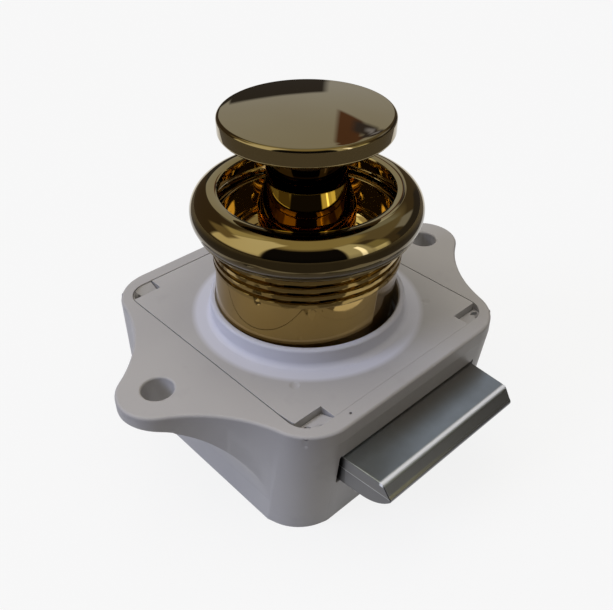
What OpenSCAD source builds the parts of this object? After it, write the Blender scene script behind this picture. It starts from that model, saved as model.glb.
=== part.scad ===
// Push button cabinet lock.
// The origin is on the knob's axis, in the plane that lies on the back of the door.
// +Z runs out along the knob and +X is the way the bolt points.
// The lock is drawn with the knob out and the bolt out.

/* [Case] */
// From the knob's axis to the case edge that the bolt comes out of
case_front = 19.6; // [19:0.1:22]
// From the knob's axis to the opposite case edge
case_back = 21.4; // [20.8:0.1:26]
// Half of the case's width, without its ears
case_half_w = 18.5; // [18.2:0.1:22]
// Depth of the case behind the mounting face
case_depth = 17.6; // [17.2:0.1:22]
// Radius of the case's upright corners
case_corner_r = 6.2; // [4:0.1:6.6]
// Floor of the case
case_floor = 1.6; // [1.2:0.1:2]
// How far the front leans back over the case's depth
front_lean = 2; // [0.2:0.1:2]
// Height of the upright band at the top of the front
front_lip = 2; // [0.5:0.1:3]

/* [Ears] */
// Distance between the two screw holes
ear_spacing = 48.2; // [47:0.1:60]
// Diameter of a screw hole
ear_hole_d = 3.9; // [3:0.1:5]
// Radius of an ear's tip
ear_tip_r = 5; // [4:0.1:6]
// Thickness of an ear at its tip
ear_t = 2; // [1.6:0.1:3.5]
// Radius of the hollow curve under an ear
ear_under_r = 11.5; // [6:0.1:13]
// Radius of the hollow curve along an ear's edge
ear_flare_r = 19; // [12:0.5:30]

/* [Cover] */
// From the knob's axis to the cover's front edge
cover_front = 17.5; // [17:0.1:18.2]
// From the knob's axis to the cover's back edge
cover_back = 19.2; // [18.5:0.1:20.2]
// Half of the cover's width
cover_half_w = 16.6; // [16:0.1:17]
// Thickness of the cover
cover_t = 1.2; // [1:0.1:1.6]
// Corner radius of the recess that holds the cover
recess_r = 3; // [2:0.1:4]
// Corner radius of the room under the cover
room_r = 7.3; // [7.2:0.1:8]
// Width of the ledge that the cover lies on
ledge_w = 1.3; // [0.8:0.1:1.8]
// Gap round the cover
cover_gap = 0.12; // [0.05:0.01:0.3]
// Length of a corner notch in the cover, along X
notch_l = 2.3; // [1.8:0.1:2.6]
// Width of a corner notch in the cover, along Y
notch_w = 4.4; // [3.6:0.1:4.8]
// Outer radius of the collar, for a 26 mm hole in the door
collar_r = 12.9; // [12.7:0.05:13.4]
// Height of the collar
collar_h = 2.6; // [2:0.1:4]
// Radius of the hollow curve at the collar's foot
collar_foot = 0.8; // [0.2:0.1:1]

/* [Barrel] */
// Radius of the barrel's plain part
barrel_r = 11.7; // [11.2:0.05:12]
// Radius over the barrel's thread
thread_r = 12; // [11.8:0.05:12.4]
// Height at which the thread starts
thread_z = 8.2; // [6:0.1:10]
// Height of the barrel's mouth
barrel_top = 14.4; // [13:0.1:16]
// Radius of the bowl that the knob sinks into
bowl_r = 10.75; // [10.6:0.05:10.9]
// Height of the underside of the web that guides the stem
web_low = 3.4; // [3.2:0.1:4]
// Thickness of that web
web_t = 5; // [3:0.1:5]
// Clearance between the barrel and the cover's collar
collar_gap = 0.35; // [0.1:0.05:0.4]

/* [Rosette] */
// Height of the rosette's lower face, which lies on the door's front
rosette_z = 13.2; // [12.8:0.1:13.6]
// Height of the rosette from its lower face to its lip
rosette_h = 4.8; // [4.6:0.1:6]
// Largest radius of the rosette
rosette_r = 14.35; // [14:0.05:16]
// Radius of the rosette's mouth
mouth_r = 10.8; // [10.7:0.05:11]

/* [Knob] */
// Radius of the knob's disc
disc_r = 10.32; // [9.5:0.02:10.5]
// Thickness of the disc at its rim
disc_t = 2.3; // [1.8:0.1:3]
// Height of the disc's underside
disc_z = 24.95; // [24:0.05:26]
// Rise of the disc's crown above its rim
crown_h = 0.35; // [0.1:0.05:0.6]
// Radius of the neck under the disc
neck_r = 4.9; // [4:0.1:5.2]
// Radius of the stem
stem_r = 6.1; // [5.8:0.05:6.3]
// Height of the step between neck and stem
step_z = 20.1; // [19:0.1:21.5]
// Travel of the knob
knob_travel = 9.4; // [6:0.1:9.6]

/* [Bolt] */
// Width of the bolt
bolt_w = 24; // [22.6:0.1:24.6]
// How far the bolt's middle lies off the case's middle, toward -Y
bolt_shift = 0.4; // [0:0.1:0.6]
// Narrowing of the bolt's head toward its nose, on each side, in degrees
head_taper = 4; // [0.5:0.5:6]
// Thickness of the bolt
bolt_t = 4.3; // [3.6:0.1:4.6]
// Depth of the bolt's top face below the mounting face
bolt_z = 5.2; // [5.1:0.1:6]
// From the knob's axis to the edge where the nose starts to slope
bolt_edge = 25; // [24:0.1:27]
// Slope of the nose against the upright, in degrees
nose_slope = 33.7; // [20:0.1:45]
// Radius of the nose's tip
nose_r = 0.6; // [0.3:0.1:1]
// Radius of the curve under the nose
under_nose_r = 5.3; // [4.6:0.1:8]
// From that curve's start to the edge where the nose starts to slope
under_nose = 3; // [1:0.1:4]
// Travel of the bolt
bolt_travel = 6.4; // [4:0.1:6.4]
// Gap between the bolt and the edges of its slot
slot_gap = 0.45; // [0.3:0.05:0.8]
// Radius of the two guide rods
rod_r = 0.8; // [0.6:0.05:1]

/* [Push-push cam] */
// Length of the follower arm, from its pivot to its peg
arm_len = 4.5; // [4:0.1:4.8]
// Swing of the follower arm over the knob's travel, in degrees
arm_swing = 30; // [20:1:32]
// Radius of the follower's peg
peg_r = 0.5; // [0.4:0.05:0.6]

/* [Springs] */
// Wire diameter of the knob's spring
knob_wire = 0.7; // [0.5:0.05:0.8]
// Mean radius of the knob's spring
knob_coil_r = 4.6; // [4.4:0.1:5]
// Turns of the knob's spring
knob_turns = 5; // [4:1:5]
// Wire diameter of a bolt spring
bolt_wire = 0.4; // [0.3:0.05:0.45]
// Mean radius of a bolt spring
bolt_coil_r = 1.35; // [1.2:0.05:1.5]
// Turns of a bolt spring
bolt_turns = 6; // [4:1:7]

/* [Hidden] */
$fn = 72;
eps = 0.01;
fit = 0.05;
seat = 0.02;
slide_gap = 0.1;
big = 60;

ear_y = ear_spacing / 2;
floor_z = -case_depth + case_floor;
ledge_z = -cover_t;
// Upper room, which holds the retainer plate
room_front = cover_front - ledge_w;
room_back = cover_back - ledge_w;
room_half_w = cover_half_w - ledge_w;
// Lower room, whose edge the retainer plate lies on
shelf_w = 0.5;
low_front = room_front - shelf_w;
low_back = room_back - shelf_w;
low_half_w = room_half_w - shelf_w;

bolt_top = -bolt_z;
bolt_low = bolt_top - bolt_t;
bolt_mid = bolt_top - bolt_t / 2;
cross_x = case_front - 5.4;
arm_w = 3.4;
bolt_y = -bolt_shift;
arm_y = bolt_w / 2 - arm_w / 2;
arm_back = -5;
rod_back = -low_back + 0.6;
rod_boss_x = -low_back + 3;
rod_front = arm_back + bolt_travel - 0.2;
slot_top = bolt_top + slot_gap;
slot_low = bolt_low - slot_gap;
slot_near = bolt_y - bolt_w / 2 - slot_gap;
slot_far = bolt_y + bolt_w / 2 + slot_gap;
slot_r = 0.5;
run_back = 6.5;

plate_t = 1.6;
plate_low = bolt_top + slide_gap;
plate_top = plate_low + plate_t;
barrel_low = plate_top + slide_gap;
clip_t = 0.7;
clip_z = ledge_z - slide_gap - clip_t;
clip_in = barrel_r - 0.65;
clip_out = barrel_r + 1.5;
under_r = barrel_r - 1.3;
guide_r = stem_r + fit;

flange_t = 2.2;
flange_r = stem_r + 1.1;
stem_low = web_low - 2.2;
flange_low = stem_low - flange_t;
body_r = knob_coil_r - knob_wire / 2 - 0.5;
body_low = floor_z + knob_travel + 1.6;
spigot_r = 3;
spigot_h = 3.8;
screw_r = 1.5;
screw_top = 9.6;
head_r = 2.6;
head_h = 1.7;
ring_t = 0.8;
ring_top = web_low - 0.15;
ring_r = stem_r + 1.4;
ring_in = stem_r - 0.8;

tongue_w = 6;
tongue_t = 1.4;
tongue_x0 = spigot_r + 0.5;
tongue_x1 = 7.4;

cam_face = -8.2;
cam_t = 1.6;
cam_half_w = 5;
groove_d = 1;
lever_t = 1;
lever_x = cam_face + 0.2;
lever_gap = 4;
flat_x = lever_x + lever_t + 0.3;
pivot_z = flange_low + flange_t / 2;
pivot_r = 0.6;
eye_r = 1.15;
peg_rest_z = pivot_z - arm_len;
lane_half = peg_r + 0.15;

// A rectangle with round corners, from one corner to the opposite one
module round_rect(low, high, r) {
    size = high - low;
    translate([low[0] + r, low[1]])
        square([size[0] - 2 * r, size[1]]);
    translate([low[0], low[1] + r])
        square([size[0], size[1] - 2 * r]);
    for (x = [low[0] + r, high[0] - r], y = [low[1] + r, high[1] - r])
        translate([x, y])
            circle(r);
}

// Stretch a YZ outline along X
module along_x(x0, x1) {
    translate([x0, 0, 0])
        rotate([90, 0, 90])
            linear_extrude(x1 - x0)
                children();
}

// Stretch an XZ outline along Y, to both sides of the middle
module along_y(w) {
    rotate([90, 0, 0])
        linear_extrude(w, center = true)
            children();
}

// A pin or bore along X
module x_rod(x0, x1, r) {
    translate([x0, 0, 0])
        rotate([0, 90, 0])
            cylinder(h = x1 - x0, r = r);
}

// Centre of the hollow arc that touches two round corners from outside
function arc_centre(a, ra, b, rb, r, side) =
    let (d = norm(b - a), u = (b - a) / d, da = ra + r, db = rb + r)
    let (s = (d * d + da * da - db * db) / (2 * d), h = sqrt(da * da - s * s))
    a + s * u + side * h * [-u[1], u[0]];

// One side of an ear, from its tip to the case corner at corner_x
module ear_side(corner_x, side) {
    tip = [0, ear_y];
    corner = [corner_x, case_half_w - case_corner_r];
    f = arc_centre(tip, ear_tip_r, corner, case_corner_r, ear_flare_r, side);
    difference() {
        polygon([tip, f, corner, [0, 0]]);
        translate(f)
            circle(ear_flare_r, $fn = 144);
    }
}

// The case seen from the door's side
module case_plan() {
    round_rect([-case_back, -case_half_w], [case_front, case_half_w], case_corner_r);
    for (m = [0, 1])
        mirror([0, m]) {
            translate([0, ear_y])
                circle(ear_tip_r);
            ear_side(case_front - case_corner_r, 1);
            ear_side(-case_back + case_corner_r, -1);
        }
}

// What is cut away under an ear, in the YZ plane
module under_ear() {
    arc_z = -ear_t - ear_under_r;
    difference() {
        translate([case_half_w, -case_depth - 1])
            square([big, case_depth + 1 - ear_t]);
        difference() {
            translate([case_half_w - 1, arc_z])
                square(ear_under_r + 1);
            translate([case_half_w + ear_under_r, arc_z])
                circle(ear_under_r, $fn = 144);
        }
    }
}

// The case leaning back about its front edge at the foot of the upright band
module leaning_case() {
    lean = atan(front_lean / (case_depth - front_lip));
    long = case_depth + 2;
    translate([case_front, 0, -front_lip])
        rotate([0, lean, 0])
            translate([-case_front, 0, -long])
                linear_extrude(long + front_lip + 2) {
                    case_plan();
                    // Behind the ears' middle the lean cuts nothing
                    translate([-2 * big, -big])
                        square(2 * big);
                }
}

module case_block() {
    difference() {
        intersection() {
            translate([0, 0, -case_depth])
                linear_extrude(case_depth)
                    case_plan();
            leaning_case();
        }
        for (m = [0, 1])
            mirror([0, m, 0])
                along_x(-big / 2, big / 2)
                    under_ear();
    }
}

// The case with its rooms and the bolt's slot
module case_hollow() {
    difference() {
        case_block();
        translate([0, 0, ledge_z])
            linear_extrude(cover_t + 1)
                round_rect([-cover_back, -cover_half_w], [cover_front, cover_half_w], recess_r);
        translate([0, 0, plate_low])
            linear_extrude(case_depth)
                round_rect([-room_back, -room_half_w], [room_front, room_half_w], room_r);
        translate([0, 0, floor_z])
            linear_extrude(case_depth)
                round_rect([-low_back, -low_half_w], [low_front, low_half_w], room_r - shelf_w);
        // Run of the bolt's head, out to the slot
        along_x(run_back, case_front + 1)
            round_rect([slot_near, slot_low], [slot_far, slot_top], slot_r);
    }
}

// Sloping floors of the cover's corner notches, deep at the cover's edge
module notch_floors() {
    rim_drop = 0.15;
    into_rim = 0.3;
    run = notch_l - cover_gap;
    // From the notch's inner side to a little way into the rim
    floor_w = notch_w - cover_gap + into_rim;
    for (end = [[cover_front, 1], [-cover_back, -1]], s = [-1, 1])
        translate([end[0], s * (cover_half_w + into_rim - floor_w / 2), 0])
            along_y(floor_w)
                polygon([[-end[1] * run, ledge_z - eps], [end[1] * into_rim, ledge_z - eps],
                    [end[1] * into_rim, -rim_drop], [0, -rim_drop],
                    [-end[1] * run, ledge_z + rim_drop]]);
}

module housing() {
    rail_w = 1.4;
    cup_r = knob_coil_r + knob_wire / 2 + 0.25;
    guide_h = 6;
    guide_w = 1.4;
    hook_d = 0.9;
    hook_in = 1.3;
    pinhole_r = 0.18;
    pinhole_y = -10.5;
    color("white")
    difference() {
        union() {
            case_hollow();
            notch_floors();
            // Rails that the bolt's arms run on
            for (s = [-1, 1])
                translate([rod_boss_x + 1, bolt_y + s * arm_y - rail_w / 2, floor_z - eps])
                    cube([case_front - 3 - rod_boss_x, rail_w, bolt_low - slide_gap - floor_z + eps]);
            // Bosses that hold the guide rods
            for (s = [-1, 1])
                translate([-room_back, bolt_y + s * arm_y - arm_w / 2, floor_z - eps])
                    cube([rod_boss_x + room_back, arm_w, bolt_mid + arm_w / 2 - floor_z]);
            // Guides that hold the cam plate upright
            for (m = [0, 1])
                mirror([0, m, 0])
                    translate([cam_face - cam_t - 1, cam_half_w + slide_gap, floor_z - eps])
                        cube([cam_t + 2, guide_w, guide_h]);
            // Cup that centres the knob's spring
            translate([0, 0, floor_z - eps])
                difference() {
                    cylinder(h = 1.4, r = cup_r + 0.8);
                    cylinder(h = 2, r = cup_r);
                }
        }
        // Screw holes in the ears
        for (s = [-1, 1])
            translate([0, s * ear_y, -ear_t - 6])
                cylinder(h = ear_t + 7, d = ear_hole_d);
        // Bores for the guide rods
        for (s = [-1, 1])
            translate([0, bolt_y + s * arm_y, bolt_mid])
                x_rod(rod_back, arm_back, rod_r + seat);
        // Small holes at the outer corners of the ledge
        for (x = [-cover_back + hook_in, cover_front - hook_in], s = [-1, 1])
            translate([x, s * (cover_half_w - hook_in), ledge_z - 2])
                cylinder(h = 3, d = hook_d);
        // Pinhole in the front rim
        translate([(case_front + cover_front) / 2 - 0.2, pinhole_y, -0.8])
            cylinder(h = 1, r = pinhole_r);
    }
}

// The cover seen from the door's side
module cover_plan() {
    g = cover_gap;
    difference() {
        round_rect([-cover_back + g, -cover_half_w + g], [cover_front - g, cover_half_w - g],
            recess_r - g);
        for (m = [0, 1], x = [cover_front - notch_l, -cover_back + notch_l - big])
            mirror([0, m])
                translate([x, cover_half_w - notch_w])
                    square(big);
    }
}

// Half outline of the collar: a soft outer edge and a hollow curve at its foot
module collar_profile() {
    soft = 0.4;
    hole_r = barrel_r + collar_gap;
    difference() {
        union() {
            translate([hole_r, -eps])
                square([collar_r - hole_r, collar_h - soft + eps]);
            translate([hole_r, -eps])
                square([collar_r - soft - hole_r, collar_h + eps]);
            translate([collar_r - soft, collar_h - soft])
                circle(soft);
            translate([collar_r - eps, -eps])
                square([collar_foot + eps, collar_foot + eps]);
        }
        translate([collar_r + collar_foot, collar_foot])
            circle(collar_foot);
        // Slight countersink at the collar's mouth
        polygon([[hole_r - 1, collar_h - 0.2], [hole_r, collar_h - 0.2],
            [hole_r + 0.2 + eps, collar_h + eps], [hole_r - 1, collar_h + eps]]);
    }
}

module cover() {
    rib_w = 0.9;
    rib_gap = 0.2;
    dimple_x = 10.6;
    dimple_y = 12;
    dimple_t = 0.15;
    color("white")
    difference() {
        union() {
            translate([0, 0, ledge_z])
                linear_extrude(cover_t)
                    cover_plan();
            rotate_extrude()
                collar_profile();
            // Ring rib that keeps the retainer plate down and stays clear of the room's walls
            translate([0, 0, plate_top + seat])
                intersection() {
                    cylinder(h = ledge_z - plate_top, r = clip_out + 0.4 + rib_w);
                    translate([0, 0, -1])
                        linear_extrude(ledge_z - plate_top + 2)
                            round_rect([-room_back + rib_gap, -room_half_w + rib_gap],
                                [room_front - rib_gap, room_half_w - rib_gap], room_r - rib_gap);
                }
        }
        translate([0, 0, ledge_z - 1])
            cylinder(h = big, r = barrel_r + collar_gap);
        translate([0, 0, plate_top - 1])
            cylinder(h = ledge_z - plate_top + 1, r = clip_out + 0.4);
        // Two shallow dimples
        for (s = [-1, 1])
            translate([dimple_x, s * dimple_y, -dimple_t])
                cylinder(h = dimple_t + eps, r1 = 0.3, r2 = 0.75);
    }
}

module retainer_plate() {
    g = 0.15;
    color("gainsboro")
    difference() {
        translate([0, 0, plate_low + seat])
            linear_extrude(plate_t - seat)
                round_rect([-room_back + g, -room_half_w + g], [room_front - g, room_half_w - g],
                    room_r - g);
        // Way through for the plunger
        translate([0, 0, plate_low - eps])
            cylinder(h = plate_t + 2 * eps, r = flange_r + 0.6);
        // Way through for the blocker
        translate([0, -tongue_w / 2 - 0.4, plate_low - eps])
            cube([tongue_x1 + 0.5, tongue_w + 0.8, plate_t + 2 * eps]);
        // Way through for the follower, with a seat for the cam plate
        translate([cam_face - cam_t - g, -cam_half_w - g, plate_low - eps])
            cube([cam_t + g + lever_gap, 2 * (cam_half_w + g), plate_t + 2 * eps]);
    }
}

// Half outline of the barrel
module barrel_profile() {
    difference() {
        union() {
            translate([0, barrel_low])
                square([barrel_r, thread_z - barrel_low]);
            translate([0, thread_z])
                square([thread_r, barrel_top - thread_z]);
        }
        // Bowl for the knob
        translate([0, web_low + web_t])
            square([bowl_r, big]);
        // Hole for the stem
        translate([0, barrel_low - 1])
            square([guide_r, big]);
        // Room under the web
        translate([0, barrel_low - 1])
            square([under_r, web_low - barrel_low + 1]);
        // Groove for the clip
        translate([clip_in, clip_z - fit])
            square([2, clip_t + 2 * fit]);
        // Chamfer at the thread's start
        polygon([[thread_r - 0.6, barrel_top + eps], [thread_r + 1, barrel_top + eps],
            [thread_r + 1, barrel_top - 1.6 + eps]]);
    }
}

module barrel() {
    color("darkgoldenrod")
    rotate_extrude()
        barrel_profile();
}

// A flat ring with a gap, as it snaps into a groove
module snap_ring(z, t, r_in, r_out, gap, turn) {
    rotate([0, 0, turn])
        difference() {
            translate([0, 0, z])
                cylinder(h = t, r = r_out);
            translate([0, 0, z - 1])
                cylinder(h = t + 2, r = r_in);
            translate([0, -gap / 2, z - 1])
                cube([big, gap, t + 2]);
        }
}

module barrel_clip() {
    color("silver")
    snap_ring(clip_z, clip_t, clip_in + fit, clip_out, 3, 0);
}

// Half outline of the rosette: a rim band, a full round bulge and a rolled lip
module rosette_profile() {
    band_h = 1.4;
    band_r = rosette_r - 0.55;
    chamfer = 0.3;
    shoulder_t = 1;
    bulge_r = rosette_h - 2.1;
    bulge_c = [rosette_r - bulge_r, rosette_z + rosette_h - bulge_r];
    difference() {
        union() {
            translate([mouth_r, rosette_z])
                square([band_r - mouth_r, band_h]);
            translate([mouth_r, rosette_z + band_h - eps])
                square([bulge_c[0] - mouth_r, rosette_h - band_h]);
            difference() {
                translate(bulge_c)
                    circle(bulge_r);
                translate([0, rosette_z - big])
                    square([big, big + band_h - eps]);
            }
        }
        // Thread bore up to the inner shoulder, then the mouth
        translate([0, rosette_z - 1])
            square([thread_r + fit, rosette_h + 1 - shoulder_t]);
        translate([0, rosette_z])
            square([mouth_r, rosette_h + 1]);
        // Soft lower edge
        polygon([[band_r - chamfer, rosette_z - eps], [band_r + 1, rosette_z - eps],
            [band_r + 1, rosette_z + 1 + chamfer]]);
    }
}

module rosette() {
    color("goldenrod")
    rotate_extrude()
        rosette_profile();
}

// Half outline of the disc, with soft edges and a shallow crown
module disc_profile() {
    edge = 0.55;
    rim_z = disc_z + disc_t;
    flat_r = disc_r - edge;
    crown_r = (flat_r * flat_r + crown_h * crown_h) / (2 * crown_h);
    translate([0, disc_z + edge])
        square([disc_r, disc_t - 2 * edge]);
    translate([0, disc_z])
        square([flat_r, disc_t]);
    for (z = [disc_z + edge, rim_z - edge])
        translate([flat_r, z])
            circle(edge);
    intersection() {
        translate([0, rim_z + crown_h - crown_r])
            circle(crown_r, $fn = 720);
        translate([0, rim_z - eps])
            square([flat_r, crown_h + eps]);
    }
}

// Half outline of the knob: disc, neck, step and stem
module knob_profile() {
    step_h = 0.45;
    step_top = 0.3;
    neck_fillet = 1;
    difference() {
        union() {
            disc_profile();
            translate([0, step_z - eps])
                square([neck_r, disc_z - step_z + 2 * eps]);
            translate([0, stem_low])
                square([stem_r, step_z - step_h - stem_low]);
            polygon([[0, step_z - step_h - eps], [stem_r, step_z - step_h - eps],
                [stem_r, step_z - step_h], [stem_r - step_top, step_z - 0.08], [neck_r, step_z],
                [0, step_z]]);
            difference() {
                translate([0, disc_z - neck_fillet])
                    square([neck_r + neck_fillet, neck_fillet + eps]);
                translate([neck_r + neck_fillet, disc_z - neck_fillet])
                    circle(neck_fillet);
            }
        }
        // Bore for the plunger's spigot, then for the screw
        translate([0, stem_low - 1])
            square([spigot_r + fit, spigot_h + 1 + slide_gap]);
        translate([0, stem_low])
            square([screw_r + fit, screw_top + slide_gap - stem_low]);
        // Groove for the stop ring
        translate([ring_in, ring_top - ring_t - fit])
            square([4, ring_t + 2 * fit]);
    }
}

module knob() {
    color("gold")
    rotate_extrude()
        intersection() {
            knob_profile();
            translate([0, -big])
                square(2 * big);
        }
}

module stop_ring() {
    color("silver")
    snap_ring(ring_top - ring_t, ring_t, ring_in + fit, ring_r, 2.8, 90);
}

module plunger() {
    color("dimgray")
    difference() {
        union() {
            translate([0, 0, flange_low])
                cylinder(h = flange_t, r = flange_r);
            translate([0, 0, stem_low - eps])
                cylinder(h = spigot_h, r = spigot_r);
            translate([0, 0, body_low])
                cylinder(h = flange_low - body_low + eps, r = body_r);
        }
        // Way for the screw, with its head sunk
        translate([0, 0, body_low - 1])
            cylinder(h = big, r = screw_r + fit);
        translate([0, 0, body_low - 1])
            cylinder(h = head_h + 1, r = head_r + fit);
        // Groove for the blocker, under the end of the stem
        translate([tongue_x0 - fit, -tongue_w / 2 - fit, stem_low - tongue_t])
            cube([big, tongue_w + 2 * fit, tongue_t + slide_gap]);
        // Flat side that carries the follower
        translate([flat_x - big, -big / 2, flange_low - 1])
            cube([big, big, flange_t + 1.5]);
        translate([0, 0, pivot_z])
            x_rod(flat_x - 1, -spigot_r, pivot_r + seat);
    }
}

// Steel tongue that comes down behind the bolt's head with the knob
module blocker() {
    color("silver")
    translate([tongue_x0, -tongue_w / 2, stem_low - tongue_t + seat])
        cube([tongue_x1 - tongue_x0, tongue_w, tongue_t - 2 * seat]);
}

module plunger_screw() {
    color("silver")
    difference() {
        union() {
            translate([0, 0, body_low])
                cylinder(h = head_h, r = head_r);
            translate([0, 0, body_low + head_h - eps])
                cylinder(h = screw_top - body_low - head_h, r = screw_r);
        }
        // Cross slot
        for (a = [0, 90])
            rotate([0, 0, a])
                translate([-0.35, -1.7, body_low - 1])
                    cube([0.7, 3.4, 1.9]);
    }
}

// Middle of the wire at ring i of a coil of eight rings per turn
function wire_at(i, len, r, wire, turns) =
    let (t = i / 8, end = 0.25)
    let (climb = (t - end) / (turns - 2 * end))
    [r * cos(360 * t), r * sin(360 * t), wire / 2 + (len - wire) * min(1, max(0, climb))];

// A coil spring standing on z = 0, as one unbroken tube of six sides
module coil(len, r, wire, turns) {
    rings = turns * 8;
    q = wire / 2;
    mid = [for (i = [0:rings]) wire_at(i, len, r, wire, turns)];
    points = [for (i = [0:rings], j = [0:5])
        let (a = 45 * i, b = 60 * j + 30)
        mid[i] + q * [cos(b) * cos(a), cos(b) * sin(a), sin(b)]];
    sides = [for (i = [0:rings - 1], j = [0:5])
        let (k = (j + 1) % 6, a = 6 * i + j, b = 6 * i + k)
        each [[a, a + 6, b + 6], [a, b + 6, b]]];
    ends = [[for (j = [0:5]) j], [for (j = [5:-1:0]) 6 * rings + j]];
    gaps = [for (i = [0:rings - 5], k = [i + 5:rings]) norm(mid[k] - mid[i]) - wire];
    echo("least gap of the wire to itself", min(gaps));
    polyhedron(points, concat(sides, ends), convexity = 4);
}

module knob_spring() {
    color("lightgray")
    translate([0, 0, floor_z + seat])
        coil(flange_low - floor_z - 2 * seat, knob_coil_r, knob_wire, knob_turns);
}

module bolt_spring(side) {
    color("lightgray")
    translate([rod_boss_x + seat, bolt_y + side * arm_y, bolt_mid])
        rotate([0, 90, 0])
            coil(arm_back - rod_boss_x - 2 * seat, bolt_coil_r, bolt_wire, bolt_turns);
}

module bolt_spring_left() {
    bolt_spring(-1);
}

module bolt_spring_right() {
    bolt_spring(1);
}

module guide_rod(side) {
    color("silver")
    translate([0, bolt_y + side * arm_y, bolt_mid])
        x_rod(rod_back, rod_front, rod_r);
}

module guide_rod_left() {
    guide_rod(-1);
}

module guide_rod_right() {
    guide_rod(1);
}

// Place of the peg after the knob has moved in by t, in the YZ plane
function peg_at(t) =
    let (a = arm_swing * t / knob_travel)
    [arm_len * sin(a), pivot_z - t - arm_len * cos(a)];

// Groove of the push-push track: two lanes round an island
module cam_track() {
    steps = 12;
    low = peg_at(knob_travel);
    top_z = plate_top + 1;
    outer = [for (i = [0:steps]) peg_at(knob_travel * i / steps) + [lane_half, 0]];
    under = [[low[0] + lane_half, low[1] - lane_half - 0.2], [0, low[1] - lane_half + 0.3]];
    difference() {
        for (m = [0, 1])
            mirror([m, 0])
                polygon(concat([[0, top_z], [lane_half, top_z]], outer, under));
        island(low);
    }
}

// Island between the lanes, with a cleft below that holds the peg while the knob stays in
module island(low) {
    side = low[0] - lane_half - 0.2;
    tip = peg_at(knob_travel / 2)[1] - 0.3;
    half = [[side, low[1] + 0.9], [side * 0.62, low[1] + 0.45]];
    polygon([[0, tip], half[0], half[1], [0, low[1] + 1.9],
        [-half[1][0], half[1][1]], [-half[0][0], half[0][1]]]);
}

module cam_plate() {
    color("silver")
    difference() {
        translate([cam_face - cam_t, -cam_half_w, floor_z + seat])
            cube([cam_t, 2 * cam_half_w, plate_top - floor_z - seat]);
        along_x(cam_face - groove_d, cam_face + 1)
            cam_track();
    }
}

module follower() {
    color("slategray")
    difference() {
        union() {
            // Arm, from the pivot's eye to the peg
            along_x(lever_x, lever_x + lever_t) {
                translate([0, pivot_z])
                    circle(eye_r);
                translate([-0.75, peg_rest_z])
                    square([1.5, arm_len]);
                translate([0, peg_rest_z])
                    circle(0.75);
            }
            // Peg in the track
            translate([0, 0, peg_rest_z])
                x_rod(cam_face - groove_d + 0.15, lever_x + eps, peg_r);
        }
        translate([0, 0, pivot_z])
            x_rod(lever_x - 1, lever_x + lever_t + 1, pivot_r + fit);
    }
}

module follower_pin() {
    color("silver")
    translate([0, 0, pivot_z])
        x_rod(lever_x - 0.1, -body_r, pivot_r);
}

// Middle of the round nose edge, which touches the slope and the curve under the nose
function nose_at(edge, u, n, c) =
    let (q = edge + n * nose_r - c, b = q * u, k = under_nose_r - nose_r)
    c + q + u * (sqrt(b * b - q * q + k * k) - b);

// Points of an arc from angle a0 to angle a1, ends included
function arc_points(c, r, a0, a1, n) =
    [for (i = [0:n]) let (a = a0 + (a1 - a0) * i / n) c + r * [cos(a), sin(a)]];

// The bolt from the side: flat top, sloping nose, round underside
module bolt_side() {
    edge = [bolt_edge, bolt_top];
    start_x = bolt_edge - under_nose;
    c = [start_x, bolt_low + under_nose_r];
    u = [sin(nose_slope), -cos(nose_slope)];
    n = [u[1], -u[0]];
    e = nose_at(edge, u, n, c);
    v = e - c;
    turn = atan2(v[1], v[0]);
    polygon(concat([[arm_back, bolt_top], [arm_back, bolt_low]],
        arc_points(c, under_nose_r, -90, turn, 10),
        arc_points(e, nose_r, turn + 3, 90 - nose_slope, 8),
        [edge]));
}

module latch_bolt() {
    nose_x = bolt_edge + bolt_t;
    draft = (nose_x - case_front) * tan(head_taper);
    color("lightsteelblue")
    difference() {
        translate([0, bolt_y, 0])
            along_y(bolt_w)
                bolt_side();
        // Free space between the two arms
        translate([arm_back - 1, bolt_y - bolt_w / 2 + arm_w, bolt_low - 1])
            cube([cross_x - arm_back + 1, bolt_w - 2 * arm_w, bolt_t + 2]);
        // The head's narrowing sides
        for (s = [-1, 1])
            translate([0, bolt_y + s * bolt_w / 2, bolt_low - 1])
                linear_extrude(bolt_t + 2)
                    polygon([[case_front, 0], [nose_x, -s * draft], [nose_x, s], [case_front, s]]);
        for (s = [-1, 1])
            translate([0, bolt_y + s * arm_y, bolt_mid])
                x_rod(arm_back - 1, rod_front + bolt_travel + 0.4, rod_r + fit);
    }
}

housing();
cover();
retainer_plate();
barrel();
barrel_clip();
rosette();
knob();
stop_ring();
plunger();
blocker();
plunger_screw();
knob_spring();
cam_plate();
follower();
follower_pin();
latch_bolt();
bolt_spring_left();
bolt_spring_right();
guide_rod_left();
guide_rod_right();
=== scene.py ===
import bpy
import bmesh
import math
from mathutils import Matrix, Vector


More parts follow.
